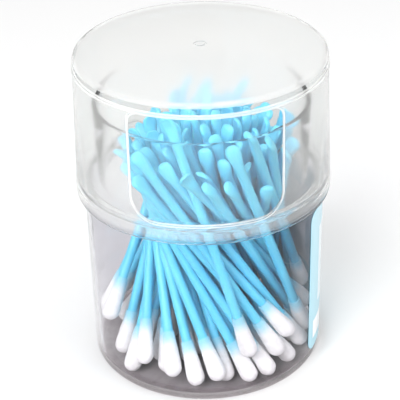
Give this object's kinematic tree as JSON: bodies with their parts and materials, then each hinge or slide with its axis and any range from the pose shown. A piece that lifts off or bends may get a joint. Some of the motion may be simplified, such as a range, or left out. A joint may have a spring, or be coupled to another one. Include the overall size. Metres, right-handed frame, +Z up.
{
  "type": "cotton swab tub",
  "caption": "Clear round jar with a frosted lift-off lid, a side sticker and a twisted bundle of ear-pick cotton swabs standing inside.",
  "frame": {"origin": "centre of the jar's flat underside", "axes": "+Z up along the jar's axis, -Y towards the front, +X to the right of someone facing the front"},
  "size_m": [0.0674, 0.0674, 0.088],
  "materials": {
    "clear_jar": "clear, glossy, faintly smoky",
    "frosted_lid": "frosted translucent with glossy windows",
    "sticker": "thin printed film, satin",
    "blue_stick": "moulded, satin gloss",
    "cotton": "wound cotton fibre"
  },
  "bodies": {
    "tub": {"base": "clear_jar", "label": "sticker", "sticks_01": "blue_stick", "sticks_02": "blue_stick", "sticks_03": "blue_stick", "sticks_04": "blue_stick", "sticks_05": "blue_stick", "sticks_06": "blue_stick", "sticks_07": "blue_stick", "sticks_08": "blue_stick", "sticks_09": "blue_stick", "sticks_10": "blue_stick", "sticks_11": "blue_stick", "sticks_12": "blue_stick", "sticks_13": "blue_stick", "sticks_14": "blue_stick", "sticks_15": "blue_stick", "sticks_16": "blue_stick", "sticks_17": "blue_stick", "sticks_18": "blue_stick", "sticks_19": "blue_stick", "sticks_20": "blue_stick", "sticks_21": "blue_stick", "sticks_22": "blue_stick", "sticks_23": "blue_stick", "sticks_24": "blue_stick", "sticks_25": "blue_stick", "sticks_26": "blue_stick", "sticks_27": "blue_stick", "sticks_28": "blue_stick", "buds_01": "cotton", "buds_02": "cotton", "buds_03": "cotton", "buds_04": "cotton", "buds_05": "cotton", "buds_06": "cotton", "buds_07": "cotton", "buds_08": "cotton", "buds_09": "cotton", "buds_10": "cotton", "buds_11": "cotton", "buds_12": "cotton", "buds_13": "cotton", "buds_14": "cotton", "buds_15": "cotton", "buds_16": "cotton", "buds_17": "cotton", "buds_18": "cotton", "buds_19": "cotton", "buds_20": "cotton", "buds_21": "cotton", "buds_22": "cotton", "buds_23": "cotton", "buds_24": "cotton", "buds_25": "cotton", "buds_26": "cotton", "buds_27": "cotton", "buds_28": "cotton"},
    "lid": {"lid": "frosted_lid"}
  },
  "joints": [
    {"name": "lid_lift", "type": "slide", "parent": "tub", "child": "lid", "axis": [0, 0, 1], "range_m": [0, 0.04]}
  ]
}
